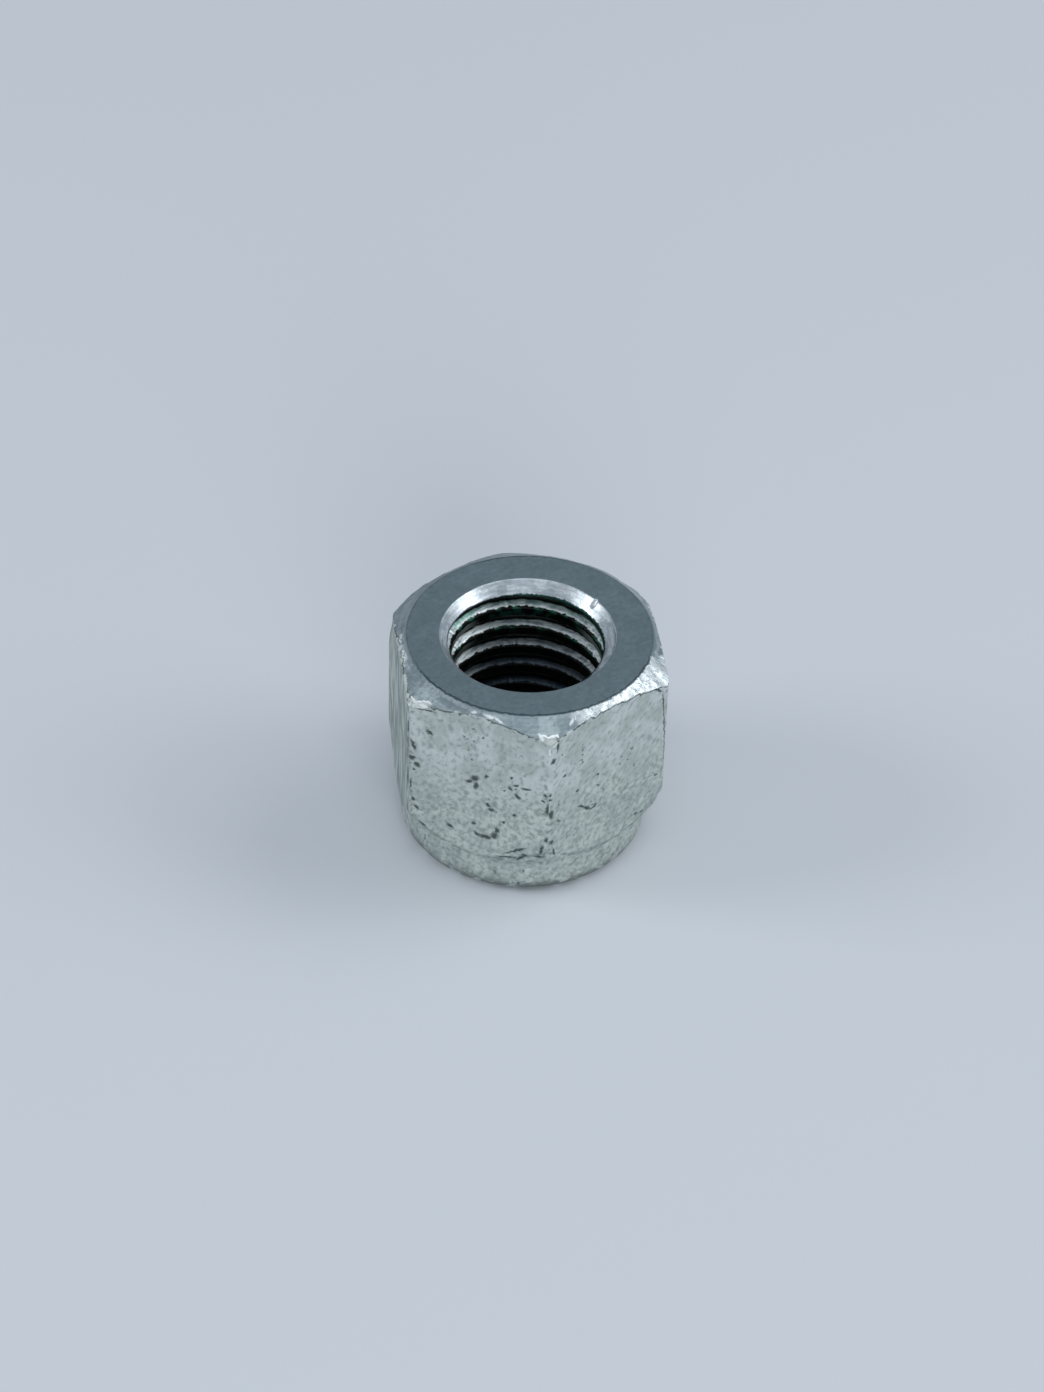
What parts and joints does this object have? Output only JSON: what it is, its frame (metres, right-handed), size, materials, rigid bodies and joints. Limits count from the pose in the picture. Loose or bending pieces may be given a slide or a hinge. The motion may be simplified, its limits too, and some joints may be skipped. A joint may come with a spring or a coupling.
{
  "type": "nylon insert lock nut",
  "caption": "Hexagonal steel lock nut with a right-hand internal thread and a nylon locking ring held under a rolled collar.",
  "frame": {"origin": "centre of the rolled collar's rim, on the thread axis, where the nut stands", "axes": "+Z along the thread axis from the collar to the bearing face, +X through a corner of the hexagon"},
  "size_m": [0.0206, 0.018, 0.0163],
  "materials": {
    "zinc_coated_steel": "dull mottled zinc coating, pitted, with a darker machined bearing face",
    "natural_nylon": "moulded natural nylon, satin"
  },
  "bodies": {
    "root": {"nut_body": "zinc_coated_steel", "nylon_ring": "natural_nylon"}
  },
  "joints": []
}
